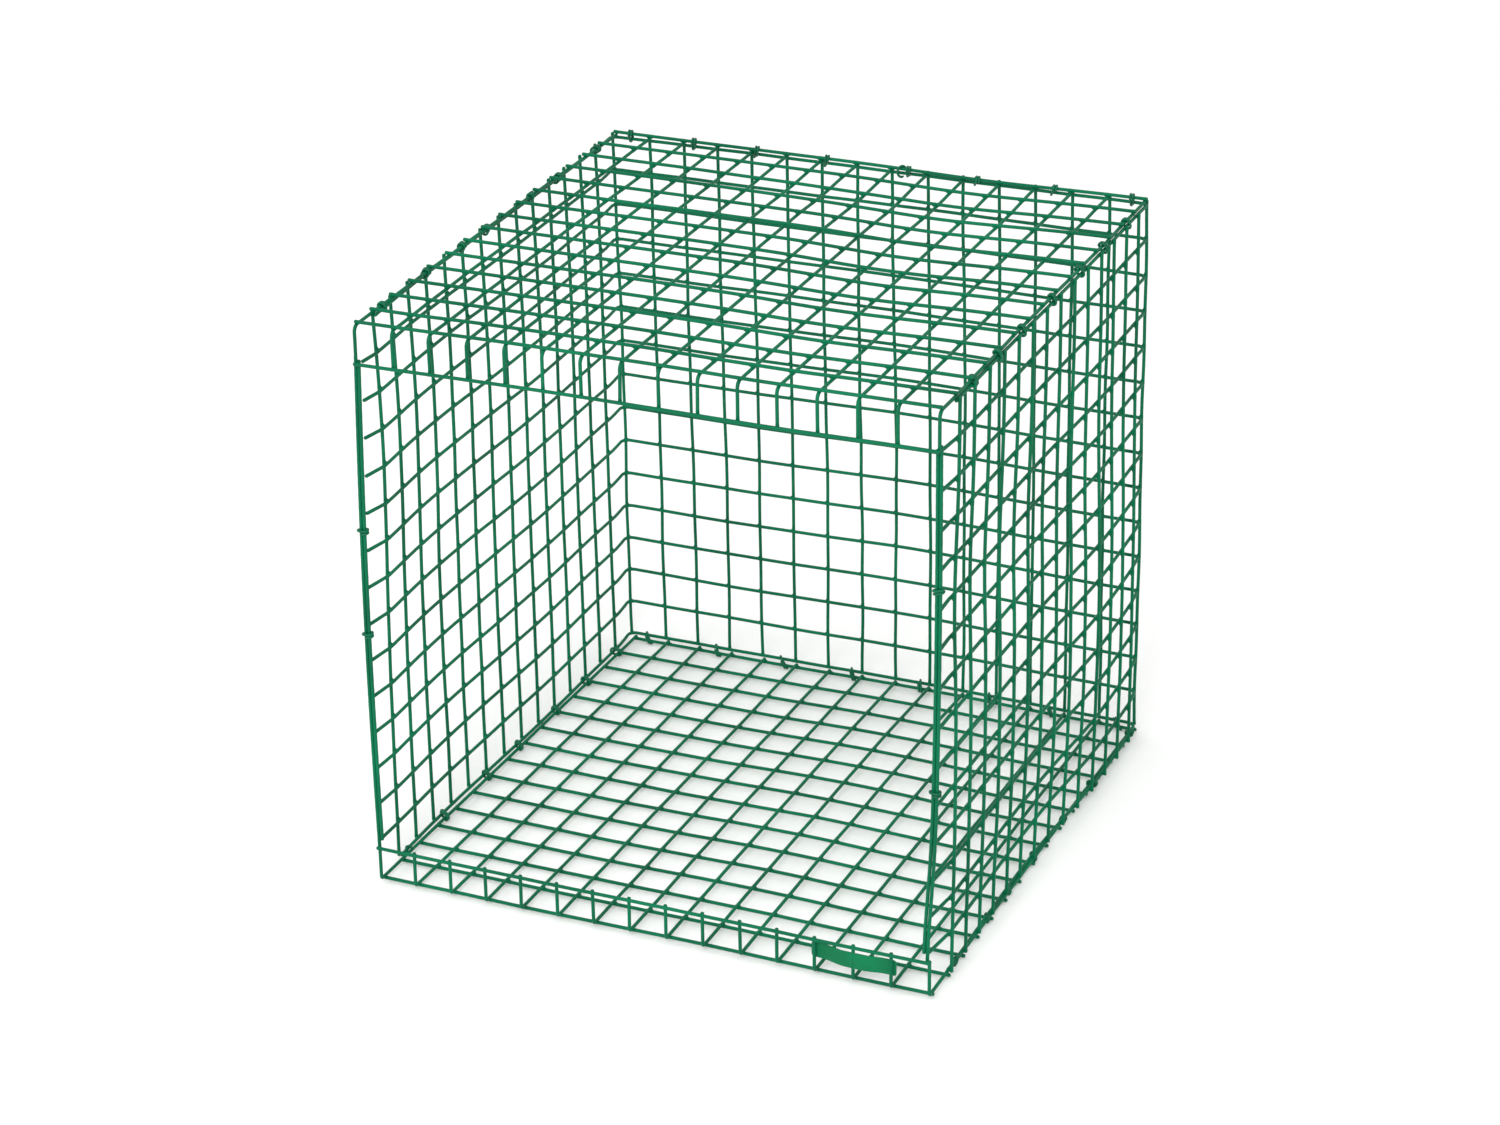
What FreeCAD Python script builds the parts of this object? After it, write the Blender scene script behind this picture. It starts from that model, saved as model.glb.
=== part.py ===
import FreeCAD, Part
import math
import os

# Open-fronted cube of welded square wire mesh, made of three mesh panels: a roof and a floor, each
# folded once into a lip at the front, and one wrap that makes the left, back and right walls.
# Rings bind the panels along three edges of the roof and three edges of the floor.
# Millimetres, +Z up, opening towards -Y, origin under the middle of the whole object.
# Every shape is drawn in mesh coordinates and moved to the origin when it is written: there, X = 0
# is the middle, Y = 0 the front fold and Z = 0 the axis plane of the floor's long wires.

# driving dimensions
pitch = 38.1  # wire to wire
cells = 15  # cells along each edge of the cube
wire_dia = 3.4  # plastic coated wire
weld_sink = 0.17  # how far two crossing wires sink into each other at a weld
ring_wire_dia = 2.2  # coated ring wire
ring_play = 0.1  # gap between a closed ring and the wires in it

# where the wrap stands against the roof and the floor
rail_gap = 1.4  # top rail below the roof's long wires, bottom rail above the floor's
side_stand_off = 4.5  # hoops outside the outermost long wires
back_stand_off = 4.2  # hoops behind the rearmost cross wires
wrap_bend = 8.0  # centreline radius of the wrap's two corners

# the folded lips at the front
roof_bend = 6.5
roof_lip_y = 1.8
roof_fold_angle = 18.0  # degrees around the bend at which the fold wire sits
floor_bend = 3.4
floor_lip_y = -8.6
floor_lip_rise = 35.2  # the lip wire above the long wires; the sheet was cut a little beyond its last cell

# cut ends, measured from the axis of the last crossing wire
cross_stub = 3.4
edge_stub = 1.8  # fold wires and lip wires, and the long wires at the lips
back_stub = 1.2
upright_stub = 2.2

# front posts: two rods side by side behind each end of the lips
post_out = 0.6  # outer rod's axis outside the outermost long wires
post_lap = 4.0  # how far the outer rod laps past the lip wires
post_inner_gap = 5.0  # inner rod's lower end above the floor's lip wire
hoop_end_out = 0.6  # hoop ends outside the outermost long wires, where they meet the posts
hoop_end_bend = 30.0

# identification plate woven through three uprights of the floor's lip
plate_thick = 0.9
plate_low = 12.2
plate_height = 16.8
plate_play = 0.1
plate_middle = 5.5  # in cells from the middle of the cube
plate_end = 4.3  # how far the plate sticks out past the outer two uprights
plate_seat = 4.0  # how far past those uprights the bow begins
plate_seat_bend = 10.0
plate_crest = 9.0  # the front of the bow reaches this far to each side of the middle upright
plate_crest_bend = 70.0

# derived sizes
wire_r = wire_dia / 2
step_over = wire_dia - weld_sink
half = cells * pitch / 2
depth = cells * pitch
roof_z = cells * pitch + 2 * rail_gap
wrap_x = half + side_stand_off
wrap_y = depth + back_stand_off
roof_lip_drop = roof_bend + pitch - roof_bend * math.radians(90 - roof_fold_angle)
ring_out = wire_r + ring_play + ring_wire_dia
front_reach = floor_lip_y - step_over - wire_r
back_reach = wrap_y + step_over + wire_r
lowest = -step_over - ring_out
origin = FreeCAD.Vector(0, (front_reach + back_reach) / 2, lowest)

up = FreeCAD.Vector(0, 0, 1)
along_x = FreeCAD.Vector(1, 0, 0)
along_y = FreeCAD.Vector(0, 1, 0)


def vec(x, y, z):
    return FreeCAD.Vector(x, y, z)


def straight_wire(start, end, diameter=wire_dia):
    run = end - start
    return Part.makeCylinder(diameter / 2, run.Length, start, run)


def bent_path(points, radii):
    """Straight runs joined by tangent arcs, one radius per inner point, as one Part.Wire."""
    edges = []
    here = points[0]
    for before, corner, after, radius in zip(points, points[1:], points[2:], radii):
        into = (corner - before).normalize()
        out = (after - corner).normalize()
        turn = into.getAngle(out)
        tangent = radius * math.tan(turn / 2)
        first = corner - into * tangent
        last = corner + out * tangent
        inward = (out - into).normalize()
        centre = corner + inward * (radius / math.cos(turn / 2))
        middle = centre - inward * radius
        edges.append(Part.LineSegment(here, first).toShape())
        edges.append(Part.Arc(first, middle, last).toShape())
        here = last
    edges.append(Part.LineSegment(here, points[-1]).toShape())
    return Part.Wire(edges)


def bent_wire(points, radii, diameter=wire_dia):
    profile = Part.Wire(Part.makeCircle(diameter / 2, points[0], points[1] - points[0]))
    return bent_path(points, radii).makePipeShell([profile], True, False)


def closed_ring(first, second, seam):
    """A ring of round wire pulled tight round two parallel wires that run along seam."""
    bend = wire_r + ring_play + ring_wire_dia / 2
    apart = second - first
    side = apart.normalize().cross(seam) * bend
    ends = []
    for centre, outward in ((first, -1), (second, 1)):
        # half a torus, made about Z on the +Y side, then turned to lie across the seam
        turn = Part.makeTorus(bend, ring_wire_dia / 2, vec(0, 0, 0), up, -180, 180, 180)
        facing = apart.normalize() * outward
        frame = FreeCAD.Matrix()
        across = facing.cross(seam)
        frame.A11, frame.A21, frame.A31 = across
        frame.A12, frame.A22, frame.A32 = facing
        frame.A13, frame.A23, frame.A33 = across.cross(facing)
        frame.A14, frame.A24, frame.A34 = centre
        turn.Placement = FreeCAD.Placement(frame)
        ends.append(turn)
    sides = [straight_wire(first + side * s, second + side * s, ring_wire_dia) for s in (-1, 1)]
    return ends[0].multiFuse([ends[1]] + sides).removeSplitter()


def open_ring(centre, axis, radius, opening, turned):
    """A ring that never closed: part of a circle about axis, with its mouth turned to face away."""
    ring = Part.makeTorus(radius, ring_wire_dia / 2, vec(0, 0, 0), up, -180, 180, 360 - opening)
    ring.rotate(vec(0, 0, 0), up, turned + opening / 2)
    ring.Placement = FreeCAD.Placement(centre, FreeCAD.Rotation(up, axis)).multiply(ring.Placement)
    return ring


def long_wire(x, floor):
    """A front-to-back wire of the roof or the floor, with its folded lip."""
    edge = abs(x) > half - 1
    back = depth + (0 if edge else back_stub)
    if floor:
        points = [vec(x, floor_lip_y, floor_lip_rise + edge_stub), vec(x, floor_lip_y, 0), vec(x, back, 0)]
        return bent_wire(points, [floor_bend])
    points = [
        vec(x, roof_lip_y, roof_z - roof_lip_drop - edge_stub),
        vec(x, roof_lip_y, roof_z),
        vec(x, back, roof_z),
    ]
    return bent_wire(points, [roof_bend])


def cross_wire(y, z, stub=cross_stub):
    reach = half + stub
    return straight_wire(vec(-reach, y, z), vec(reach, y, z))


def panel_nodes(name, floor):
    """Every wire of the roof or of the floor, by node name."""
    outside = -step_over if floor else roof_z + step_over
    columns = [-half + i * pitch for i in range(cells + 1)]
    rows = [j * pitch for j in range(1, cells)]
    if floor:
        fold = cross_wire(0, outside, edge_stub)
        lip = cross_wire(floor_lip_y - step_over, floor_lip_rise, edge_stub)
    else:
        reach = roof_bend + step_over
        angle = math.radians(roof_fold_angle)
        fold_y = roof_lip_y + roof_bend - reach * math.sin(angle)
        fold_z = roof_z - roof_bend + reach * math.cos(angle)
        fold = cross_wire(fold_y, fold_z, edge_stub)
        lip = cross_wire(roof_lip_y - step_over, roof_z - roof_lip_drop, edge_stub)
    return {
        name + "_side_wire_left": [long_wire(columns[0], floor)],
        name + "_side_wire_right": [long_wire(columns[-1], floor)],
        name + "_line_wires": [long_wire(x, floor) for x in columns[1:-1]],
        name + "_cross_wires": [cross_wire(y, outside) for y in rows],
        name + "_back_wire": [cross_wire(depth, outside)],
        name + "_fold_wire": [fold],
        name + "_lip_wire": [lip],
    }


# lengths along the wrap's hoops, from the front of the left wall to the front of the right wall
side_run = wrap_y - wrap_bend
corner_run = wrap_bend * math.pi / 2
back_run = 2 * (wrap_x - wrap_bend)
wrap_length = 2 * (side_run + corner_run) + back_run
upright_step = wrap_length / (3 * cells)


def wrap_place(distance):
    """The point of a hoop's centreline at this distance along it, and the way outwards there."""
    if distance > wrap_length / 2:
        point, outward = wrap_place(wrap_length - distance)
        return vec(-point.x, point.y, 0), vec(-outward.x, outward.y, 0)
    if distance <= side_run:
        return vec(-wrap_x, distance, 0), vec(-1, 0, 0)
    if distance <= side_run + corner_run:
        angle = (distance - side_run) / wrap_bend
        outward = vec(-math.cos(angle), math.sin(angle), 0)
        return vec(wrap_bend - wrap_x, side_run, 0) + outward * wrap_bend, outward
    return vec(distance - side_run - corner_run + wrap_bend - wrap_x, wrap_y, 0), along_y


def hoop_level(k):
    return rail_gap + k * pitch


def post_y(z):
    """The posts lean forward, from just behind the roof's lip to just behind the floor's."""
    top = roof_z - roof_lip_drop
    share = (z - floor_lip_rise) / (top - floor_lip_rise)
    return floor_lip_y + step_over + share * (roof_lip_y - floor_lip_y)


def wall_hoop(k):
    """A horizontal wire of the wrap. Its ends bend in and bear on the backs of the front posts."""
    z = hoop_level(k)
    end_x = half + hoop_end_out
    end_y = post_y(z) + step_over
    points = [
        vec(-end_x, end_y, z),
        vec(-wrap_x, upright_step, z),
        vec(-wrap_x, wrap_y, z),
        vec(wrap_x, wrap_y, z),
        vec(wrap_x, upright_step, z),
        vec(end_x, end_y, z),
    ]
    return bent_wire(points, [hoop_end_bend, wrap_bend, wrap_bend, hoop_end_bend])


def wall_rail(k):
    """The top or bottom hoop, cut off just past the first upright so that the front corner is open."""
    z = hoop_level(k)
    front = upright_step - upright_stub
    points = [vec(-wrap_x, front, z), vec(-wrap_x, wrap_y, z), vec(wrap_x, wrap_y, z), vec(wrap_x, front, z)]
    return bent_wire(points, [wrap_bend, wrap_bend])


def wall_upright(i):
    point, outward = wrap_place(i * upright_step)
    foot = point + outward * step_over + up * (hoop_level(0) - upright_stub)
    return straight_wire(foot, foot + up * (cells * pitch + 2 * upright_stub))


def wall_nodes():
    nodes = {"wall_bottom_rail": [wall_rail(0)], "wall_top_rail": [wall_rail(cells)]}
    for k in range(1, cells):
        nodes["wall_hoop_%02d" % k] = [wall_hoop(k)]
    nodes["wall_uprights_left"] = [wall_upright(i) for i in range(1, cells)]
    nodes["wall_uprights_back"] = [wall_upright(i) for i in range(cells, 2 * cells + 1)]
    nodes["wall_uprights_right"] = [wall_upright(i) for i in range(2 * cells + 1, 3 * cells)]
    return nodes


def post_nodes():
    """Two rods side by side at each end of the opening, from the roof's lip to the floor's."""
    top = roof_z - roof_lip_drop
    nodes = {}
    for name, side in (("left", -1), ("right", 1)):
        outer_x = side * (half + post_out)
        inner_x = side * (half + post_out - step_over)
        high, low = top + post_lap, floor_lip_rise - post_lap
        nodes["post_outer_rod_" + name] = [
            straight_wire(vec(outer_x, post_y(low), low), vec(outer_x, post_y(high), high))
        ]
        high, low = top, floor_lip_rise + post_inner_gap
        nodes["post_inner_rod_" + name] = [
            straight_wire(vec(inner_x, post_y(low), low), vec(inner_x, post_y(high), high))
        ]
    return nodes


# places of the rings along each seam, in cells from the front on the sides and from the left at the back
ring_places = {
    "roof_rings_left": [1.45, 3.81, 5.78, 7.14, 9.73, 11.35, 13.78],
    "roof_rings_back": [0.44, 2.32, 4.14, 6.16, 8.5, 10.4, 12.53, 14.68],
    "roof_rings_right": [2.14, 3.84, 5.52, 7.7, 9.75, 11.55, 13.42],
    "floor_rings_left": [3.36, 5.77, 7.63, 9.86, 11.8, 13.8],
    "floor_rings_back": [0.4, 2.57, 4.61, 6.72, 8.76, 10.84, 12.61, 14.57],
    "floor_rings_right": [1.5, 3.77, 5.32, 7.14, 9.27, 11.43, 14.55],
}
post_ring_levels = {"post_rings_left": [6.8, 9.6], "post_rings_right": [5.4, 10.6]}


def seam_wires(node, place):
    """The axes of the two wires that a ring binds, and the way they run."""
    roof = node.startswith("roof")
    long_z = roof_z if roof else 0
    rail_z = hoop_level(cells) if roof else hoop_level(0)
    if node.endswith("back"):
        x = place * pitch - half
        cross_z = long_z + (step_over if roof else -step_over)
        return vec(x, depth, cross_z), vec(x, wrap_y, rail_z), along_x
    side = -1 if node.endswith("left") else 1
    y = place * pitch
    return vec(side * half, y, long_z), vec(side * wrap_x, y, rail_z), along_y


def ring_nodes():
    nodes = {}
    for node, places in ring_places.items():
        nodes[node] = [closed_ring(*seam_wires(node, place)) for place in places]
    lean = vec(0, post_y(1) - post_y(0), 1).normalize()
    for node, levels in post_ring_levels.items():
        side = -1 if node.endswith("left") else 1
        outer = [vec(side * (half + post_out), post_y(k * pitch), k * pitch) for k in levels]
        inward = along_x * (-side * step_over)
        nodes[node] = [closed_ring(axis, axis + inward, lean) for axis in outer]
    # two rings were left open: one hangs from the roof's back wire, one from the left bottom rail
    back_wire = vec(8.3 * pitch - half, depth, roof_z + step_over)
    radius = 6.0
    hang = radius - wire_r - ring_wire_dia / 2 - ring_play
    nodes["loose_ring_roof"] = [open_ring(back_wire - up * hang, along_x + along_y * 0.5, radius, 80, 200)]
    rail = vec(-wrap_x, 1.35 * pitch, hoop_level(0))
    tilt = (up + along_x).normalize()
    nodes["loose_ring_floor"] = [open_ring(rail + tilt * hang, along_y, radius, 80, 90)]
    return nodes


def identification_plate():
    """A blank springy strip woven behind, in front of and behind three uprights of the floor's lip."""
    seat = wire_r + plate_play + plate_thick / 2
    behind, before = floor_lip_y + seat, floor_lip_y - seat
    middle = plate_middle * pitch
    left, right = middle - pitch, middle + pitch
    points = [
        vec(left - plate_end, behind, plate_low),
        vec(left + plate_seat, behind, plate_low),
        vec(middle - plate_crest, before, plate_low),
        vec(middle + plate_crest, before, plate_low),
        vec(right - plate_seat, behind, plate_low),
        vec(right + plate_end, behind, plate_low),
    ]
    spine = bent_path(points, [plate_seat_bend, plate_crest_bend, plate_crest_bend, plate_seat_bend])
    half_thick = along_y * (plate_thick / 2)
    rise = up * plate_height
    foot = points[0]
    corners = [foot - half_thick, foot + half_thick, foot + half_thick + rise, foot - half_thick + rise]
    profile = Part.makePolygon(corners + corners[:1])
    return spine.makePipeShell([profile], True, False)


def main():
    nodes = {}
    nodes.update(panel_nodes("roof", False))
    nodes.update(panel_nodes("floor", True))
    nodes.update(wall_nodes())
    nodes.update(post_nodes())
    nodes.update(ring_nodes())
    nodes["id_plate"] = [identification_plate()]
    os.makedirs("parts", exist_ok=True)
    for node, solids in nodes.items():
        shape = solids[0] if len(solids) == 1 else Part.makeCompound(solids)
        shape.translate(origin * -1)
        shape.exportStep("parts/" + node + ".step")
    print("nodes", len(nodes), "solids", sum(len(s) for s in nodes.values()))


main()
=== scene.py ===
import bpy
import math
import numpy as np
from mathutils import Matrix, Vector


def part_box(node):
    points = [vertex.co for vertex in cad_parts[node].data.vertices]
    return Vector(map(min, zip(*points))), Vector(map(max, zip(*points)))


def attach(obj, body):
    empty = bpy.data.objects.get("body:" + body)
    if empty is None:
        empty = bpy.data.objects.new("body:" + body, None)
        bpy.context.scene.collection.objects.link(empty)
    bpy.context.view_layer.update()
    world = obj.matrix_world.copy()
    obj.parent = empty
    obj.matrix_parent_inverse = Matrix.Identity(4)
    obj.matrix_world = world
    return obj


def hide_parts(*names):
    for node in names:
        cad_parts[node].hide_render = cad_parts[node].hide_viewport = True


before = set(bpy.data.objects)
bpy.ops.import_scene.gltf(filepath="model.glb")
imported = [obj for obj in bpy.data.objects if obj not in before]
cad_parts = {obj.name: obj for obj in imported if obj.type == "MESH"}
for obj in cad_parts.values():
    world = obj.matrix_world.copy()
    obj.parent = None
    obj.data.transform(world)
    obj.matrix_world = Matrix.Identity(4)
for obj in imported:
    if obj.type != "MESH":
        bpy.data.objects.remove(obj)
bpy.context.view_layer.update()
print("frame:", len(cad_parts), "nodes")

rng = np.random.default_rng(381)

# the mesh that the whole cage is made of, in metres
mesh = {
    "pitch": 0.0381,
    "cells": 15,
    "wireRadius": 0.0017,
    "ringRadius": 0.0013,
    "sides": 12,  # corners of a wire's round section
    "wander": 0.00045,  # how far a wire strays sideways between its welds
    "slowWave": (0.26, 0.5),  # the shortest and the longest wave that it strays in
    "quickWave": (0.09, 0.16),
    "weldSwell": 0.05,  # how much thicker the coat is at a weld, as a share of the radius
    "endBead": 0.06,  # and at a dipped cut end
}
pitch, cells, wireR = mesh["pitch"], mesh["cells"], mesh["wireRadius"]
alongX, alongY, up = np.eye(3)


def boxOf(node):
    # its lowest and its highest corner
    low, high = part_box(node)
    return np.array(low), np.array(high)


def middleOf(node):
    low, high = boxOf(node)
    return (low + high) / 2


# places, read from the frame
columnX = np.linspace(middleOf("roof_side_wire_left")[0], middleOf("roof_side_wire_right")[0], cells + 1)
frontY = middleOf("floor_fold_wire")[1]
rowY = frontY + pitch * np.arange(cells + 1)
roofZ = boxOf("roof_side_wire_left")[1][2] - wireR
floorZ = boxOf("floor_side_wire_left")[0][2] + wireR
hoopNodes = ["wall_hoop_%02d" % k for k in range(1, cells)]
hoopNodes = ["wall_bottom_rail"] + hoopNodes + ["wall_top_rail"]
hoopZ = np.array([middleOf(node)[2] for node in hoopNodes])
hoopZ[-1] -= 0.0022  # the rings have pulled the top rail down under the roof's side wires
wrapX = boxOf("wall_bottom_rail")[1][0] - wireR
wrapY = boxOf("wall_bottom_rail")[1][1] - wireR
stepOver = boxOf("wall_uprights_right")[1][0] - wireR - wrapX  # from a hoop's axis to an upright's


def carry(path, scale, profile, sideWay):
    # a flat profile carried along a path: point = path + scale * (u * side + v * over), where
    # side is sideWay made square to the path and over is square to both
    way = np.gradient(path, axis=0)
    way /= np.linalg.norm(way, axis=1, keepdims=True)
    side = sideWay - way * np.sum(way * sideWay, axis=1, keepdims=True)
    side /= np.linalg.norm(side, axis=1, keepdims=True)
    over = np.cross(way, side)
    across = profile[None, :, 0, None] * side[:, None] + profile[None, :, 1, None] * over[:, None]
    return path[:, None] + scale[:, None, None] * across


def closeSkin(rings):
    # a grid of rings as one closed skin: quads between neighbouring rings, a fan at each end
    count, around = rings.shape[:2]
    poles = np.stack([rings[0].mean(axis=0), rings[-1].mean(axis=0)])
    points = np.concatenate([rings.reshape(-1, 3), poles])
    j = np.arange(around)
    nextJ = (j + 1) % around
    start = np.arange(count - 1)[:, None] * around
    quads = np.stack([start + j, start + nextJ, start + around + nextJ, start + around + j], axis=-1)
    firstPole = np.full(around, count * around)
    last = (count - 1) * around
    firstFan = np.stack([firstPole, nextJ, j], axis=-1)
    lastFan = np.stack([firstPole + 1, last + j, last + nextJ], axis=-1)
    return points, quads.reshape(-1, 4), np.concatenate([firstFan, lastFan])


def makePiece(name, skins, material, nodes=()):
    # all skins in one mesh, smooth shaded, riding on the cage's only body
    points, corners, sizes = [], [], []
    base = 0
    for skinPoints, quads, triangles in skins:
        points.append(skinPoints)
        corners += [(quads + base).ravel(), (triangles + base).ravel()]
        sizes += [np.full(len(quads), 4), np.full(len(triangles), 3)]
        base += len(skinPoints)
    points, corners, sizes = np.concatenate(points), np.concatenate(corners), np.concatenate(sizes)
    data = bpy.data.meshes.new(name)
    data.vertices.add(len(points))
    data.vertices.foreach_set("co", points.astype(np.float32).ravel())
    data.loops.add(len(corners))
    data.loops.foreach_set("vertex_index", corners.astype(np.int32))
    data.polygons.add(len(sizes))
    data.polygons.foreach_set("loop_start", (np.cumsum(sizes) - sizes).astype(np.int32))
    data.polygons.foreach_set("loop_total", sizes.astype(np.int32))
    data.polygons.foreach_set("use_smooth", np.ones(len(sizes), bool))
    data.update(calc_edges=True)
    data.validate()
    data.materials.append(material)
    piece = bpy.data.objects.new(name, data)
    bpy.context.scene.collection.objects.link(piece)
    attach(piece, "root")
    if nodes:
        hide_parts(*nodes)


def roundProfile(sides):
    # (cos a, sin a) at even angles
    angle = np.arange(sides) * 2 * math.pi / sides
    return np.stack([np.cos(angle), np.sin(angle)], axis=-1)


def bentRoute(points, bends):
    # straight runs joined by tangent arcs: for a turn t at a corner, the arc's middle lies inward by
    # bend / cos(t / 2), and its points are middle + bend * (sin a * along - cos a * inward), with a
    # from -t / 2 to t / 2; returns the points and the length travelled to each
    points = [np.array(p, float) for p in points]
    line = [points[0]]
    for before, corner, after, bend in zip(points, points[1:], points[2:], bends):
        into = (corner - before) / np.linalg.norm(corner - before)
        out = (after - corner) / np.linalg.norm(after - corner)
        turn = math.acos(np.clip(into @ out, -1, 1))
        inward = (out - into) / np.linalg.norm(out - into)
        centre = corner + inward * bend / math.cos(turn / 2)
        swing = np.linspace(-turn / 2, turn / 2, 17)[:, None]
        along = (into + out) / np.linalg.norm(into + out)
        line += list(centre + bend * (np.sin(swing) * along - np.cos(swing) * inward))
    line = np.array(line + [points[-1]])
    travelled = np.concatenate([[0], np.cumsum(np.linalg.norm(np.diff(line, axis=0), axis=1))])
    return line, travelled


def stations(route, welds):
    # where a wire's section is drawn: its domed ends, its bends, and close together at each weld
    length = route[1][-1]
    dome = wireR * np.array([0.03, 0.12, 0.3, 0.6, 1.0, 1.6])
    nearWeld = wireR * np.array([-3.2, -1.9, -0.9, 0, 0.9, 1.9, 3.2])
    middles = (welds[1:] + welds[:-1]) / 2
    spots = [dome, length - dome, route[1][1:-1], (welds[:, None] + nearWeld).ravel(), middles]
    spots = np.concatenate(spots)
    spots = np.unique(np.round(spots[(spots > dome[0] / 2) & (spots < length - dome[0] / 2)], 5))
    return spots[np.concatenate([[True], np.diff(spots) > 1e-5])]


def coatedWire(route, welds, sideWay, stray, dented=()):
    # a round section carried along the route, moved sideways by stray; its radius swells by a bell
    # curve at each weld and at each cut end, and closes over the end as a quarter ellipse
    spots = stations(route, welds)
    line = np.stack([np.interp(spots, route[1], route[0][:, k]) for k in range(3)], axis=-1)
    line = settle(line + stray(spots), *dented)
    toEnd = np.minimum(spots, route[1][-1] - spots)
    swell = np.exp(-(((spots[:, None] - welds) / (1.4 * wireR)) ** 2)).sum(axis=1)
    bead = np.exp(-(((toEnd - 1.2 * wireR) / wireR) ** 2))
    dome = np.sqrt(np.clip(1 - (1 - np.minimum(toEnd / (0.7 * wireR), 1)) ** 2, 0, 1))
    scale = wireR * (1 + mesh["weldSwell"] * swell + mesh["endBead"] * bead) * dome
    return closeSkin(carry(line, scale, roundProfile(mesh["sides"]), sideWay))


# welded mesh is never quite straight or square
settling = {
    "shiftX": 0.00204,  # the floor's, to the right; the roof is shifted as far to the left
    "shiftY": -0.00206,
    "twist": -0.00573,  # in radians, again opposite ways
}

# how far each panel has moved along an axis as a whole
shifts = {
    "left": {"x": -0.0018},
    "right": {"x": -0.0027},
    "back": {"x": -0.0024},
}

# and the hollows and swellings knocked into it: the axis, the middle (two values) and the spread
# (two values) in cells, and the depth in metres
dents = {
    "roof": [
        ("z", 10.7, 9, 2.3, 8, -0.0037),
        ("z", 9, 12.6, 4.6, 1.5, -0.0023),
        ("z", 0, 0, 3, 3, -0.0022),
    ],
    "floor": [
        ("z", 9.1, 8.4, 3, 7.4, 0.004),
        ("y", 7.5, 4.5, 20, 4.5, -0.0035),
    ],
    "left": [
        ("x", 0.4, 10.5, 2, 14, 0.006),
        ("x", -1.3, 12, 14, 4.4, 0.0067),
        ("x", 9.4, 6.5, 3.2, 11, 0.0039),
    ],
    "right": [
        ("x", 11.4, 4.8, 2.8, 7.6, 0.0052),
        ("x", 0, 10, 14, 2.1, -0.0028),
        ("x", 6.3, 0, 5, 2.5, -0.0047),
    ],
    "back": [
        ("y", 8.8, 5.3, 3.2, 6.4, 0.008),
        ("x", 7.5, 0, 30, 7, -0.002),
    ],
}
walls = ("left", "back", "right")


def closeTo(distance):
    # 1 on a wall, easing to 0 at 33 mm from it as 3 s^2 - 2 s^3
    share = np.clip(1.1 - np.abs(distance) / 0.03, 0, 1)
    return share * share * (3 - 2 * share)


def settle(points, *panels):
    # floor and roof are shifted and turned opposite ways, with share from 1 at the floor to -1 at
    # the roof: x + share * (shiftX - twist * y), y + share * (shiftY + twist * x); then the named
    # panels' dents are added, as depth * exp(-(a / spreadA)^2 - (b / spreadB)^2), with a and b in
    # cells from the dent's middle
    x, y, z = points[..., 0], points[..., 1], points[..., 2]
    share = 1 - 2 * (z - floorZ) / (roofZ - floorZ)
    away = y - (rowY[0] + rowY[-1]) / 2
    moved = points.copy()
    moved[..., 0] += share * (settling["shiftX"] - settling["twist"] * away)
    moved[..., 1] += share * (settling["shiftY"] + settling["twist"] * x)
    cellX, cellY, cellZ = (x - columnX[0]) / pitch, (y - frontY) / pitch, (z - floorZ) / pitch
    back = closeTo(y - wrapY)
    free = np.clip(cellY + 0.3, 0, 1)  # the posts hold the hoops' ends
    for panel in panels:
        a, b, weight = {
            "roof": (cellX, cellY, 1), "floor": (cellX, cellY, 1), "back": (cellX, cellZ, back),
            "left": (cellY, cellZ, free * (1 - back) * closeTo(x + wrapX)),
            "right": (cellY, cellZ, free * (1 - back) * closeTo(x - wrapX)),
        }[panel]
        for axis, shift in shifts.get(panel, {}).items():
            moved[..., "xyz".index(axis)] += weight * shift
        for axis, midA, midB, spreadA, spreadB, depth in dents[panel]:
            bell = np.exp(-(((a - midA) / spreadA) ** 2) - ((b - midB) / spreadB) ** 2)
            moved[..., "xyz".index(axis)] += weight * depth * bell
    return moved


def makeWander(count, size):
    # for each of count wires, its height and the starts and the rates of its two waves
    shortest, longest = np.array([mesh["slowWave"], mesh["quickWave"]]).T
    return {
        "size": size * rng.uniform(0.3, 1.0, count),
        "start": rng.uniform(0, 2 * math.pi, (2, count)),
        "rate": 2 * math.pi / rng.uniform(shortest[:, None], longest[:, None], (2, count)),
    }


def wander(family, index, along):
    # two slow sine waves of different lengths, the shorter one at half the height
    start, rate = family["start"][:, index], family["rate"][:, index]
    slow = np.sin(start[0] + rate[0] * along)
    return family["size"][index] * (slow + 0.5 * np.sin(start[1] + rate[1] * along))


def wrapPlace(distance):
    # a point of a hoop and the way outwards there, from the length along the hoop: straight back
    # along the side, a quarter circle of radius bend, the back, and the mirror image of that
    bend = wrap["bend"]
    near = np.minimum(distance, wrap["length"] - distance)
    angle = np.clip((near - wrap["side"]) / bend, 0, math.pi / 2)
    back = np.maximum(near - wrap["side"] - bend * math.pi / 2, 0)
    hand = np.where(distance > wrap["length"] / 2, -1, 1)
    x = hand * (bend * (1 - np.cos(angle)) - wrapX + back)
    y = frontY + np.minimum(near, wrap["side"]) + bend * np.sin(angle)
    outward = np.stack([-hand * np.cos(angle), np.sin(angle), 0 * angle], axis=-1)
    return np.stack([x, y, 0 * x], axis=-1), outward


# the one sheet that wraps left, back and right
wrap = {"bend": 0.008, "endBend": 0.03}
wrap["side"] = wrapY - frontY - wrap["bend"]
wrap["length"] = 2 * wrap["side"] + wrap["bend"] * math.pi + 2 * (wrapX - wrap["bend"])
uprightStep = wrap["length"] / (3 * cells)

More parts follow.
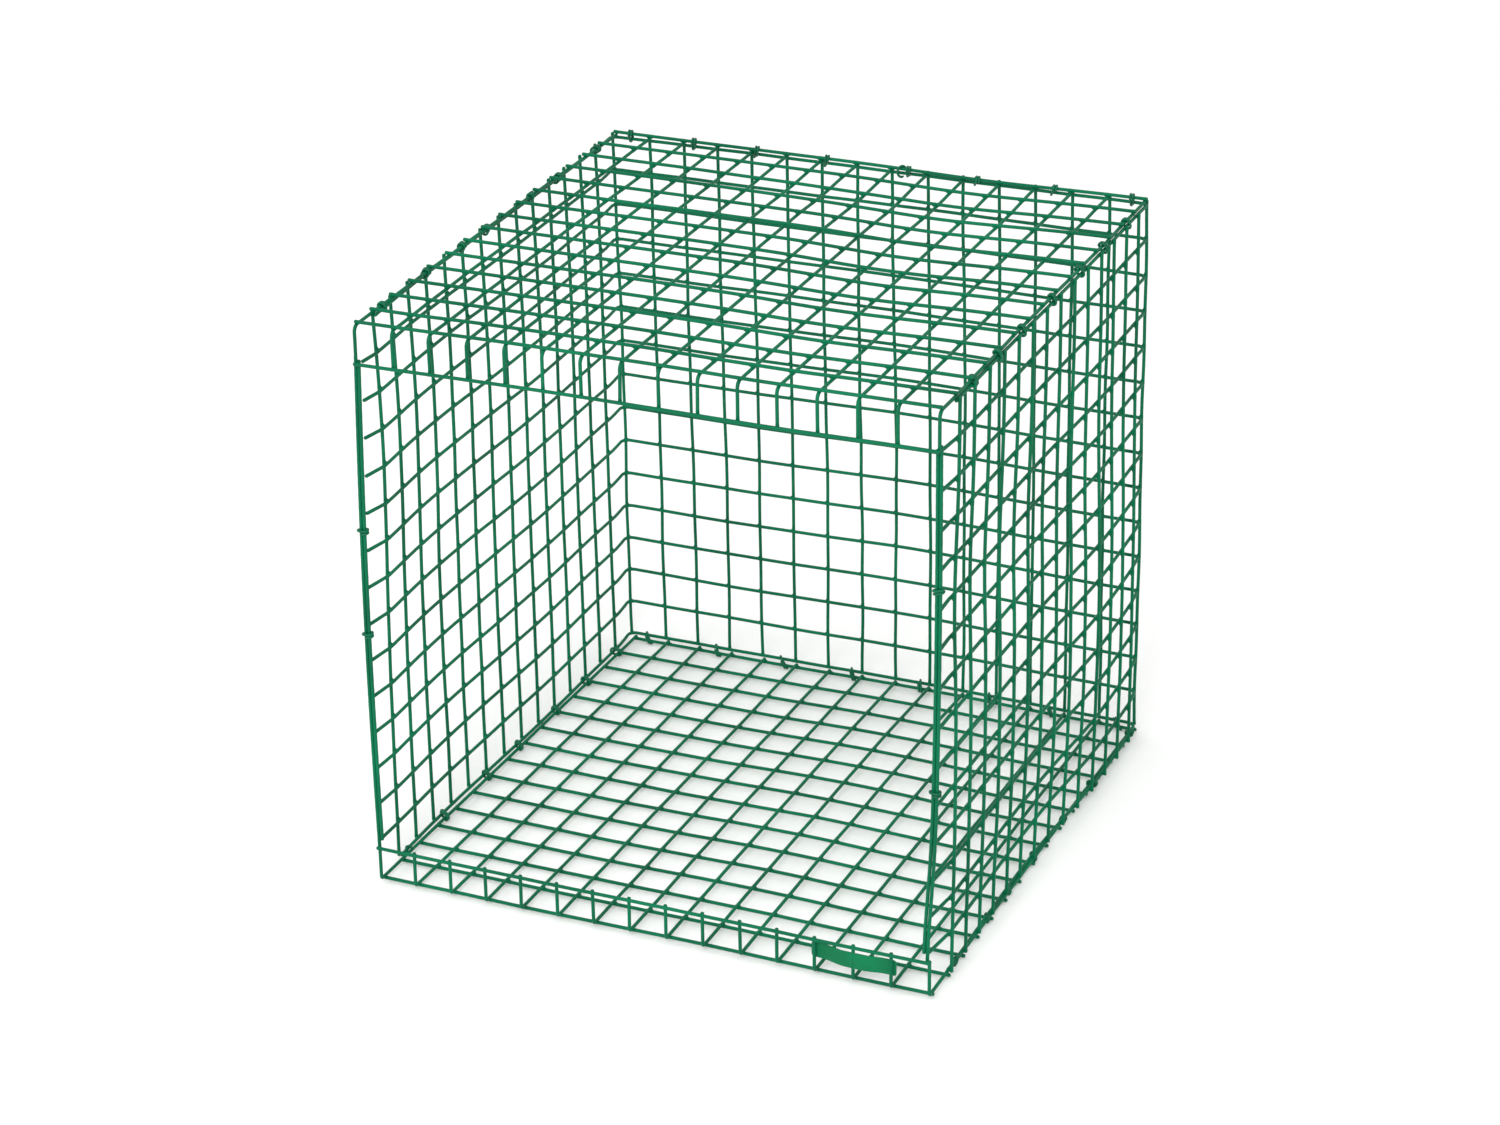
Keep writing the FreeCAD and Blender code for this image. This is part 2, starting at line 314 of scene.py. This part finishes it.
longWander = {name: makeWander(cells + 1, mesh["wander"]) for name in ("roof", "floor")}
crossWander = {name: makeWander(cells + 2, mesh["wander"]) for name in ("roof", "floor")}
hoopWander = makeWander(cells + 1, mesh["wander"])
uprightWander = makeWander(3 * cells + 1, 1.6 * mesh["wander"])


def linear(hexColour):
    # sRGB hex to linear, with full alpha
    values = np.array([int(hexColour[k : k + 2], 16) for k in (1, 3, 5)]) / 255
    values = np.where(values <= 0.04045, values / 12.92, ((values + 0.055) / 1.055) ** 2.4)
    return (*values, 1.0)


def addNode(tree, kind, settings=None, links=None):
    # one node with its settings by name, and its inputs linked from other nodes' outputs
    node = tree.nodes.new(kind)
    for key, value in (settings or {}).items():
        if key in node.inputs:
            node.inputs[key].default_value = value
        else:
            setattr(node, key, value)
    for key, output in (links or {}).items():
        tree.links.new(output, node.inputs[key])
    return node


def plasticCoat(name, look):
    # an even, deep colour with a soft, faint sheen, clouds where the coat is thicker, a slight orange
    # peel, and dust in its pores
    material = bpy.data.materials.new(name)
    material.use_nodes = True
    tree = material.node_tree
    tree.nodes.clear()
    place = addNode(tree, "ShaderNodeTexCoord").outputs["Object"]
    clouds = addNode(
        tree,
        "ShaderNodeTexNoise",
        {"Scale": 1 / look["cloudSize"], "Detail": 3.0, "Roughness": 0.55},
        {"Vector": place},
    )
    tone = addNode(tree, "ShaderNodeValToRGB", {}, {"Fac": clouds.outputs["Fac"]})
    tone.color_ramp.elements[0].position, tone.color_ramp.elements[1].position = 0.32, 0.68
    tone.color_ramp.elements[0].color = linear(look["deep"])
    tone.color_ramp.elements[1].color = linear(look["light"])
    specks = addNode(
        tree,
        "ShaderNodeTexNoise",
        {"Scale": 1 / look["speckSize"], "Detail": 2.0, "Roughness": 0.6},
        {"Vector": place},
    )
    dust = addNode(
        tree,
        "ShaderNodeMapRange",
        {"From Min": 0.6, "From Max": 0.8, "To Max": look["dust"]},
        {"Value": specks.outputs["Fac"]},
    )
    colour = addNode(tree, "ShaderNodeMix", {"data_type": "RGBA"}, {"Factor": dust.outputs["Result"]})
    tree.links.new(tone.outputs["Color"], colour.inputs[6])  # the colour sockets A and B
    colour.inputs[7].default_value = linear(look["dustColour"])
    gloss = addNode(
        tree,
        "ShaderNodeMapRange",
        {"From Min": 0.3, "From Max": 0.7, "To Min": look["rough"] - 0.05, "To Max": look["rough"] + 0.07},
        {"Value": clouds.outputs["Fac"]},
    )
    peel = addNode(
        tree,
        "ShaderNodeTexNoise",
        {"Scale": 1 / look["peelSize"], "Detail": 1.0},
        {"Vector": place},
    )
    bump = addNode(
        tree,
        "ShaderNodeBump",
        {"Strength": 0.35, "Distance": look["peelDepth"]},
        {"Height": peel.outputs["Fac"]},
    )
    shader = addNode(
        tree,
        "ShaderNodeBsdfPrincipled",
        {"IOR": look["ior"], "Specular IOR Level": look["shine"]},
        {
            "Base Color": colour.outputs[2],
            "Roughness": gloss.outputs["Result"],
            "Normal": bump.outputs["Normal"],
        },
    )
    addNode(tree, "ShaderNodeOutputMaterial", {}, {"Surface": shader.outputs["BSDF"]})
    return material


# softened PVC powder melted on to hot galvanised wire, which gives a deep green with little shine;
# the clouds are as long as a few cells, and the orange peel is 1.2 mm across, coarser than the real
# 0.3 mm so that it shows
wireCoat = plasticCoat("pvcCoatedSteelWire", {
    "deep": "#00583a", "light": "#006c48", "dustColour": "#1b7d5b", "dust": 0.2,
    "cloudSize": 0.09, "speckSize": 0.004, "peelSize": 0.0012, "peelDepth": 0.00006,
    "rough": 0.42, "ior": 1.53, "shine": 0.1,
})
# the rings are bent from ready coated wire, a little darker and harder, and scuffed by the pliers
ringCoat = plasticCoat("pvcCoatedRingWire", {
    "deep": "#005337", "light": "#006443", "dustColour": "#23795a", "dust": 0.2,
    "cloudSize": 0.02, "speckSize": 0.0016, "peelSize": 0.0009, "peelDepth": 0.00008,
    "rough": 0.4, "ior": 1.53, "shine": 0.18,
})
# polyethylene sheet, rolled and cut: waxy, and lighter and flatter than the coat
plateSheet = plasticCoat("polyethyleneSheet", {
    "deep": "#00683f", "light": "#007449", "dustColour": "#2b8c67", "dust": 0.2,
    "cloudSize": 0.03, "speckSize": 0.0022, "peelSize": 0.0007, "peelDepth": 0.00004,
    "rough": 0.55, "ior": 1.51, "shine": 0.16,
})
print("materials: done")


# the coat runs into the corners of each weld and joins the two wires
weld = {
    "reach": 0.0044,
    "hollow": 0.8,
    "thick": 0.0013,
    "around": 12,
    "atEnd": 0.36,  # share of the reach beside a cut end, where the wire soon stops
}


def arm(way, atEnd):
    # the direction of a web's arms, one per weld, made short where atEnd is true
    return np.array(way, float) * np.where(atEnd, weld["atEnd"], 1.0)[:, None]


def weldWebs(centres, first, second):
    # a star-shaped lens at each centre: rho cos t cos p along first, rho sin t cos p along second and
    # thick sin p along the normal, where rho = reach * (|cos t|^n + |sin t|^n)^(-1/n) and n is hollow
    turn = np.arange(weld["around"]) * 2 * math.pi / weld["around"]
    power = weld["hollow"]
    rho = weld["reach"] * (np.abs(np.cos(turn)) ** power + np.abs(np.sin(turn)) ** power) ** (-1 / power)
    tilt = np.array([-50, 0, 50]) * math.pi / 180
    out = rho * np.cos(tilt)[:, None]
    flat = np.stack([out * np.cos(turn), out * np.sin(turn)], axis=-1)
    rise = weld["thick"] * np.sin(tilt)[:, None]
    skins = []
    for centre, u, v in zip(centres, first, second):
        normal = np.cross(u, v) / np.linalg.norm(np.cross(u, v))
        rings = centre + flat[..., :1] * u + flat[..., 1:] * v + rise[..., None] * normal
        skins.append(closeSkin(rings))
    return skins


# the centreline radius at which the roof's and the floor's long wires are folded into the lip
foldBend = {"roof": 0.0065, "floor": 0.0034}


def longWireRoute(name, x, node):
    # from the back, along the panel, round the fold and down (roof) or up (floor) the lip
    low, high = boxOf(node)
    z = roofZ if name == "roof" else floorZ
    lipY = low[1] + wireR
    lipEnd = low[2] if name == "roof" else high[2]
    return bentRoute([(x, high[1], z), (x, lipY, z), (x, lipY, lipEnd)], [foldBend[name]])


def panelPieces(name):
    # the roof or the floor: its long wires, its cross wires, and the webs at their welds
    side, cross = longWander[name], crossWander[name]
    panelZ = roofZ if name == "roof" else floorZ
    crossZ = middleOf(name + "_back_wire")[2]
    fold, lip = middleOf(name + "_fold_wire"), middleOf(name + "_lip_wire")
    crossY = np.concatenate([[fold[1]], rowY[1:], [lip[1]]])
    crossHeight = np.concatenate([[fold[2]], np.full(cells, crossZ), [lip[2]]])
    names = [name + "_line_wires"] * (cells + 1)
    names[0], names[-1] = name + "_side_wire_left", name + "_side_wire_right"
    skins = {node: [] for node in names}
    for i, x in enumerate(columnX):
        line, travelled = longWireRoute(name, x, names[i])
        back = line[0, 1]
        middleOfFold = travelled[len(travelled) // 2]
        lipWeld = travelled[-1] - abs(line[-1, 2] - lip[2])
        welds = np.concatenate([back - rowY[:0:-1], [middleOfFold, lipWeld]])

        def stray(spots, i=i, back=back):
            return wander(side, i, back - spots)[:, None] * alongX

        skins[names[i]].append(coatedWire((line, travelled), welds, alongX, stray, [name]))
    crossNodes = [name + "_fold_wire"] + [name + "_cross_wires"] * (cells - 1)
    crossNodes += [name + "_back_wire", name + "_lip_wire"]
    for j, node in enumerate(crossNodes):
        y, z, reach = crossY[j], crossHeight[j], boxOf(node)[1][0]
        route = bentRoute([(-reach, y, z), (reach, y, z)], [])
        inLip = node.endswith(("lip_wire", "fold_wire"))
        sideWay = up if inLip else alongY
        share = 0.5 if inLip else 1  # the lip is too narrow for its wires to stray as far

        def stray(spots, j=j, sideWay=sideWay, share=share, reach=reach):
            return wander(cross, j, spots - reach)[:, None] * sideWay * share

        skins.setdefault(node, []).append(coatedWire(route, columnX + reach, sideWay, stray, [name]))
    for node, parts in skins.items():
        makePiece(node + "_coated", parts, wireCoat, [node])
    # webs of the flat part of the panel, then those of the lip
    i, j = [grid.ravel() for grid in np.meshgrid(np.arange(cells + 1), np.arange(1, cells + 1))]
    x = columnX[i] + [wander(side, a, rowY[b]) for a, b in zip(i, j)]
    y = rowY[j] + [wander(cross, b, columnX[a]) for a, b in zip(i, j)]
    centres = np.stack([x, y, np.full(len(i), (panelZ + crossZ) / 2)], axis=-1)
    onEdge = (i == 0) | (i == cells)
    webs = weldWebs(settle(centres, name), arm([(1, 0, 0)], onEdge), arm([(0, 1, 0)], j == cells))
    lipY = boxOf(name + "_side_wire_left")[0][1] + wireR
    column = np.arange(cells + 1)
    lipZ = lip[2] + 0.5 * np.array([wander(cross, cells + 1, x) for x in columnX])
    lipCentres = np.stack([columnX, np.full(cells + 1, (lipY + lip[1]) / 2), lipZ], axis=-1)
    onEdge = (column == 0) | (column == cells)
    webs += weldWebs(settle(lipCentres, name), arm([(1, 0, 0)], onEdge), arm([(0, 0, 1)], column >= 0))
    makePiece(name + "_weld_webs", webs, wireCoat)


panelPieces("roof")
panelPieces("floor")
print("roof and floor: done")


# two rods side by side at each end of the opening
posts = {
    "hoopOut": 0.0006,  # the hoops' ends, outside the outermost long wires
    "aside": {"left": -0.0018, "right": 0},  # over the whole length, to the right
    "bow": {"left": -0.0034, "right": 0.0022},  # at half height, to the right
    "foot": {"left": 0, "right": -0.0045},  # how far the lower end is knocked to the right
    "footHeight": 0.085,
    "innerShare": 0.9,  # of the bow that the inner rod has
}


def postShift(name, rod, height, length):
    # an even shift, a half wave over the length, and a bell curve at the foot
    bow = posts["bow"][name] * (1 if rod == "outer" else posts["innerShare"])
    foot = posts["foot"][name] * np.exp(-((height / posts["footHeight"]) ** 2))
    return posts["aside"][name] + bow * np.sin(math.pi * height / length) + foot


def outerShift(name, z):
    # the outer rod's, at a height above the ground
    low, high = boxOf("post_outer_rod_" + name)
    return postShift(name, "outer", z - low[2], high[2] - low[2])


def hoopPiece(k):
    # from the left front round the back to the right front; a whole hoop has its two ends bent in to
    # the posts, and a rail stops short of them
    node, z = hoopNodes[k], hoopZ[k]
    front = boxOf(node)[0][1]
    firstUpright = frontY + uprightStep
    bend = wrap["bend"]
    if k in (0, cells):
        points = [(-wrapX, front, z), (-wrapX, wrapY, z), (wrapX, wrapY, z), (wrapX, front, z)]
        route = bentRoute(points, [bend, bend])
        first = firstUpright - front
    else:
        endX = columnX[-1] + posts["hoopOut"]
        leftX, rightX = -endX + outerShift("left", z), endX + outerShift("right", z)
        points = [
            (leftX, front, z), (-wrapX, firstUpright, z), (-wrapX, wrapY, z),
            (wrapX, wrapY, z), (wrapX, firstUpright, z), (rightX, front, z),
        ]
        route = bentRoute(points, [wrap["endBend"], bend, bend, wrap["endBend"]])
        first = math.hypot(wrapX - endX, firstUpright - front)
    welds = first + uprightStep * np.arange(3 * cells - 1)

    def stray(spots):
        return wander(hoopWander, k, spots - first + uprightStep)[:, None] * up

    skin = coatedWire(route, welds, up, stray, walls)
    makePiece(node + "_coated", [skin], wireCoat, [node])


def uprightSkin(i, low, high):
    # straight up, straying along the hoops; each point is found on the wrap and stepped outwards
    route = bentRoute([(0, 0, low), (0, 0, high)], [])
    welds = hoopZ - low

    def stray(spots):
        place, outward = wrapPlace(i * uprightStep + wander(uprightWander, i, spots))
        return place + outward * stepOver

    outward = wrapPlace(np.array(i * uprightStep))[1]
    return coatedWire(route, welds, np.cross(outward, up), stray, walls)


def wallPieces():
    # the hoops, and for each side its uprights and the webs at their welds
    for k in range(cells + 1):
        hoopPiece(k)
    sides = {
        "left": range(1, cells),
        "back": range(cells, 2 * cells + 1),
        "right": range(2 * cells + 1, 3 * cells),
    }
    for name, numbers in sides.items():
        node = "wall_uprights_" + name
        low, high = boxOf(node)[0][2], boxOf(node)[1][2]
        skins = [uprightSkin(i, low, high) for i in numbers]
        makePiece(node + "_coated", skins, wireCoat, [node])
        i, k = [grid.ravel() for grid in np.meshgrid(list(numbers), np.arange(cells + 1))]
        along = i * uprightStep + [wander(uprightWander, a, hoopZ[b] - low) for a, b in zip(i, k)]
        place, outward = wrapPlace(along)
        centres = place + outward * stepOver / 2
        centres[:, 2] = hoopZ[k] + np.array([wander(hoopWander, b, a) for a, b in zip(along, k)])
        upArm = arm([(0, 0, 1)], (k == 0) | (k == cells))
        webs = weldWebs(settle(centres, *walls), np.cross(outward, up), upArm)
        makePiece("wall_weld_webs_" + name, webs, wireCoat)


def postPieces():
    # each rod leans back from the floor's lip to the roof's, and is bowed sideways
    for name in ("left", "right"):
        for rod in ("outer", "inner"):
            node = "post_" + rod + "_rod_" + name
            low, high = boxOf(node)
            x = (low[0] + high[0]) / 2
            route = bentRoute([(x, low[1] + wireR, low[2]), (x, high[1] - wireR, high[2])], [])
            length = route[1][-1]

            def stray(spots, name=name, rod=rod, length=length):
                return postShift(name, rod, spots, length)[:, None] * alongX

            lumps = np.linspace(0.02, length - 0.02, 40)  # not welds, but the coat is as uneven
            skin = coatedWire(route, lumps, alongX, stray)
            makePiece(node + "_coated", [skin], wireCoat, [node])


wallPieces()
postPieces()
print("walls and posts: done")


# rings of bent wire, pressed shut round two wires with pliers
ring = {
    "overlap": 0.5,  # of a turn that the two ends pass each other by
    "pliers": np.array([0.4, -0.75, 0.5]),  # the side from which the rings were pressed shut
    "uneven": 0.1,  # how far the overlap may be off that side, as a share of a turn
    "play": 0.00015,  # between a ring and the two wires
    "lead": 2.1,  # of the helix, in wire radii
    "flare": 0.06,  # how much the ends stand off, as a share of the ring's size
    "flareLength": 0.003,
    "lean": 0.18,  # the steepest slope to the seam
    "taper": 0.0022,  # length of the sheared point at each end
    "sides": 8,
}


def clusterPlaces(node, axis):
    # the middles of a node's separate rings along one axis, split where its points leave 6 mm free
    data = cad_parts[node].data
    values = np.empty(len(data.vertices) * 3, np.float32)
    data.vertices.foreach_get("co", values)
    values = np.sort(values.reshape(-1, 3)[:, axis])
    groups = np.split(values, np.nonzero(np.diff(values) > 0.006)[0] + 1)
    return [float((g[0] + g[-1]) / 2) for g in groups]


def ovalRoute(spots, gap, bend):
    # once round two wires: a side of length gap, a half circle of radius bend, the other side and
    # the other half circle, by the length travelled
    half = math.pi * bend
    s = np.mod(spots, 2 * gap + 2 * half)
    firstTurn = (s - gap) / bend - math.pi / 2
    secondTurn = (s - 2 * gap - half) / bend + math.pi / 2
    parts = [s < gap, s < gap + half, s < 2 * gap + half]
    xParts = [s - gap / 2, gap / 2 + bend * np.cos(firstTurn), gap * 1.5 + half - s]
    yParts = [-bend + 0 * s, bend * np.sin(firstTurn), bend + 0 * s]
    x = np.select(parts, xParts, -gap / 2 + bend * np.cos(secondTurn))
    y = np.select(parts, yParts, bend * np.sin(secondTurn))
    return x, y


def closedRing(first, second, seam):
    # the oval about both wires, run for more than one turn as a helix along the seam, whose lead is
    # just over one wire, so that the ends pass side by side; they flare outwards by a hair
    radius = mesh["ringRadius"]
    apart = second - first
    gap = np.linalg.norm(apart)
    across = apart / gap
    over = np.cross(seam, across)
    bend = wireR + ring["play"] + radius
    once = 2 * gap + 2 * math.pi * bend
    length = once * (1 + ring["overlap"])
    point = np.array([0.0003, 0.0009])
    spots = np.concatenate([point, np.linspace(0.0018, length - 0.0018, 46), length - point[::-1]])
    x, y = ovalRoute(np.linspace(0, once, 60), gap, bend)
    facing = np.argmax(x * (across @ ring["pliers"]) + y * (over @ ring["pliers"])) / 60
    begin = once * (facing - ring["overlap"] / 2 + rng.uniform(-ring["uneven"], ring["uneven"]))
    x, y = ovalRoute(spots + begin, gap, bend)
    toEnd = np.minimum(spots, length - spots)
    step = ring["lead"] * radius * (spots - length / 2) / once
    flare = 1 + ring["flare"] * np.clip(1 - toEnd / ring["flareLength"], 0, 1)
    lean = rng.uniform(-ring["lean"], ring["lean"])
    line = (first + second) / 2 + across * (x * flare)[:, None] + over * (y * flare)[:, None]
    line += seam * (step + lean * x)[:, None]
    scale = radius * np.clip(0.35 + 0.65 * toEnd / ring["taper"], 0, 1)
    return closeSkin(carry(line, scale, roundProfile(ring["sides"]), seam))


def seamWires(node, place):
    # the two wires that a ring binds, and the way along them
    panel, edge = node.split("_")[0], node.split("_")[-1]
    rail = hoopZ[-1] if panel == "roof" else hoopZ[0]
    if edge == "back":
        wire = middleOf(panel + "_back_wire")
        first, second, seam = (place, wire[1], wire[2]), (place, wrapY, rail), alongX
    else:
        hand = -1 if edge == "left" else 1
        panelZ = roofZ if panel == "roof" else floorZ
        first, second, seam = (hand * columnX[-1], place, panelZ), (hand * wrapX, place, rail), alongY
    return settle(np.array(first), panel), settle(np.array(second), *walls), seam


def openRing(node, centre, axis, radius, gap, turned):
    # part of a circle about axis: centre + radius * (cos t * u + sin t * v), open by gap
    axis = np.array(axis, float) / np.linalg.norm(axis)
    u = np.cross(axis, up)
    u /= np.linalg.norm(u)
    v = np.cross(axis, u)
    turn = np.linspace(turned + gap / 2, turned + 2 * math.pi - gap / 2, 40)
    line = settle(centre + radius * (np.cos(turn)[:, None] * u + np.sin(turn)[:, None] * v))
    fromEnd = np.minimum(turn - turn[0], turn[-1] - turn) * radius
    scale = mesh["ringRadius"] * np.clip(0.3 + 0.7 * fromEnd / ring["taper"], 0, 1)
    skin = closeSkin(carry(line, scale, roundProfile(ring["sides"]), axis))
    makePiece(node + "_coated", [skin], ringCoat, [node])


def ringPieces():
    # the closed rings of the six seams and of the two posts, and the two that were left open
    for panel in ("roof", "floor"):
        for edge in ("left", "back", "right"):
            node = panel + "_rings_" + edge
            skins = []
            for place in clusterPlaces(node, 0 if edge == "back" else 1):
                first, second, seam = seamWires(node, place)
                skins.append(closedRing(first, second, seam))
            makePiece(node + "_coated", skins, ringCoat, [node])
    for name in ("left", "right"):
        node = "post_rings_" + name
        low, high = boxOf("post_outer_rod_" + name)
        length = high[2] - low[2]
        skins = []
        for z in clusterPlaces(node, 2):
            y = low[1] + wireR + (z - low[2]) / length * (high[1] - low[1] - 2 * wireR)
            ends = []
            for rod in ("outer", "inner"):
                x = middleOf("post_" + rod + "_rod_" + name)[0] + postShift(name, rod, z - low[2], length)
                ends.append(settle(np.array([x, y, z])))
            skins.append(closedRing(ends[0], ends[1], up))
        makePiece(node + "_coated", skins, ringCoat, [node])
    place = middleOf("loose_ring_roof")
    openRing("loose_ring_roof", place, axis=(1, -0.6, 0.1), radius=0.0055, gap=1.2, turned=2.6)
    place = middleOf("loose_ring_floor") - 0.004 * up
    openRing("loose_ring_floor", place, axis=(0, 1, 0), radius=0.0036, gap=1.4, turned=0.6)


ringPieces()
print("rings: done")


# a blank strip sprung behind, in front of and behind three uprights of the floor's lip
plate = {
    "thick": 0.0009,
    "corner": 0.0025,  # radius of its four corners
    "slant": -0.0012,  # its rise to the right, from the middle of the bow to its end
    "seat": 0.004,  # how far inside the outer two uprights the bow begins
    "crest": 1.25,  # more than 1 keeps the bow's front straight past the middle upright
    "steps": 90,
    "sectionSteps": 16,
}


def platePiece():
    # in plan a raised cosine, 0.5 - 0.5 cos(pi * share), from behind the uprights to the front; its
    # section is a rounded slab, and towards each end its half height shrinks by
    # corner * (1 - sqrt(1 - e^2)), with e from 0 to 1 over the corner
    low, high = boxOf("id_plate")
    thick = plate["thick"]
    x = np.linspace(low[0] + 0.00002, high[0] - 0.00002, plate["steps"])
    middle, width = (low[0] + high[0]) / 2, pitch - plate["seat"]
    share = np.clip(1 - np.abs(x - middle) / width, 0, 1)
    bow = 0.5 - 0.5 * np.cos(math.pi * np.clip(share * plate["crest"], 0, 1))
    y = (high[1] - thick / 2) - bow * (high[1] - low[1] - thick)
    z = (low[2] + high[2]) / 2 + plate["slant"] * (x - middle) / width
    line = settle(np.stack([x, y, z], axis=-1))
    toEnd = np.minimum(x - low[0], high[0] - x)
    short = np.clip(1 - toEnd / plate["corner"], 0, 1)
    tall = (high[2] - low[2]) / 2 - plate["corner"] * (1 - np.sqrt(1 - short**2))
    turn = np.arange(plate["sectionSteps"]) * 2 * math.pi / plate["sectionSteps"]
    rise, out = np.sin(turn), np.cos(turn)
    section = np.stack([0 * out, out * thick / 2], axis=-1)
    rings = carry(line, np.ones(len(x)), section, up)
    edge = tall[:, None] - thick / 2 * (1 - np.abs(rise))
    rings[..., 2] += np.sign(rise) * np.abs(rise) ** 0.2 * edge
    makePiece("id_plate_sheet", [closeSkin(rings)], plateSheet, ["id_plate"])


platePiece()
print("plate: done")


studio = {
    "floorSize": 14.0,
    "floorColour": "#f7f7f6",
    "skyColour": "#ffffff",
    "skyStrength": 1.0,
    "lightAim": (0, 0, 0.3),
    "key": {"place": (0.6, -3.2, 2.6), "size": 1.8, "power": 75.0},
    "fill": {"place": (-3.0, -1.2, 2.2), "size": 2.2, "power": 20.0},
}


def addArea(name, values):
    # a round soft light, turned to face the aim
    light = bpy.data.lights.new(name, "AREA")
    light.shape, light.size, light.energy = "DISK", values["size"], values["power"]
    lamp = bpy.data.objects.new(name, light)
    bpy.context.scene.collection.objects.link(lamp)
    lamp.location = values["place"]
    back = Vector(values["place"]) - Vector(studio["lightAim"])
    lamp.rotation_mode = "QUATERNION"
    lamp.rotation_quaternion = back.to_track_quat("Z", "Y")


def makeStudio():
    # white paper under a white sky, and two lights
    size = studio["floorSize"] / 2
    data = bpy.data.meshes.new("studio_floor")
    corners = [(-size, -size, 0), (size, -size, 0), (size, size, 0), (-size, size, 0)]
    data.from_pydata(corners, [], [(0, 1, 2, 3)])
    floor = bpy.data.objects.new("studio_floor", data)
    bpy.context.scene.collection.objects.link(floor)
    paper = bpy.data.materials.new("studioPaper")
    paper.use_nodes = True
    shader = paper.node_tree.nodes["Principled BSDF"]
    shader.inputs["Base Color"].default_value = linear(studio["floorColour"])
    shader.inputs["Roughness"].default_value = 0.9
    data.materials.append(paper)
    world = bpy.data.worlds.new("studioSky")
    world.use_nodes = True
    sky = world.node_tree.nodes["Background"]
    sky.inputs["Color"].default_value = linear(studio["skyColour"])
    sky.inputs["Strength"].default_value = studio["skyStrength"]
    bpy.context.scene.world = world
    addArea("keyLight", studio["key"])
    addArea("fillLight", studio["fill"])


# the camera; angles in degrees, its aim measured from the middle of the mesh
view = {
    "azimuth": 23.82,
    "elevation": 24.963,
    "roll": -0.866,
    "lens": 95.05,
    "distance": 101.69 * pitch,
    "aimRight": -0.4286 * pitch,
    "aimUp": -0.6341 * pitch,
}


def makeCamera():
    # back is (sin a cos e, -cos a cos e, sin e), and level and upright are turned about it by the roll
    azimuth, elevation, roll = [math.radians(view[k]) for k in ("azimuth", "elevation", "roll")]
    flat = math.cos(elevation)
    back = np.array([math.sin(azimuth) * flat, -math.cos(azimuth) * flat, math.sin(elevation)])
    level = np.cross(up, back)
    level /= np.linalg.norm(level)
    upright = np.cross(back, level)
    right = math.cos(roll) * level + math.sin(roll) * upright
    above = math.cos(roll) * upright - math.sin(roll) * level
    centre = np.array([0, (rowY[0] + rowY[-1]) / 2, floorZ + cells * pitch / 2])
    centre -= np.array([settling["shiftX"], settling["shiftY"], 0])
    place = centre + view["distance"] * back + view["aimRight"] * right + view["aimUp"] * above
    data = bpy.data.cameras.new("studioCamera")
    data.sensor_width, data.lens = 36.0, view["lens"]
    data.clip_start, data.clip_end = 0.05, 50.0
    camera = bpy.data.objects.new("studioCamera", data)
    bpy.context.scene.collection.objects.link(camera)
    stand = np.eye(4)
    stand[:3] = np.stack([right, above, back, place], axis=-1)
    camera.matrix_world = Matrix(stand.tolist())
    bpy.context.scene.camera = camera


makeStudio()
makeCamera()
bpy.context.scene.view_settings.view_transform = "Standard"
print("studio and camera: done")
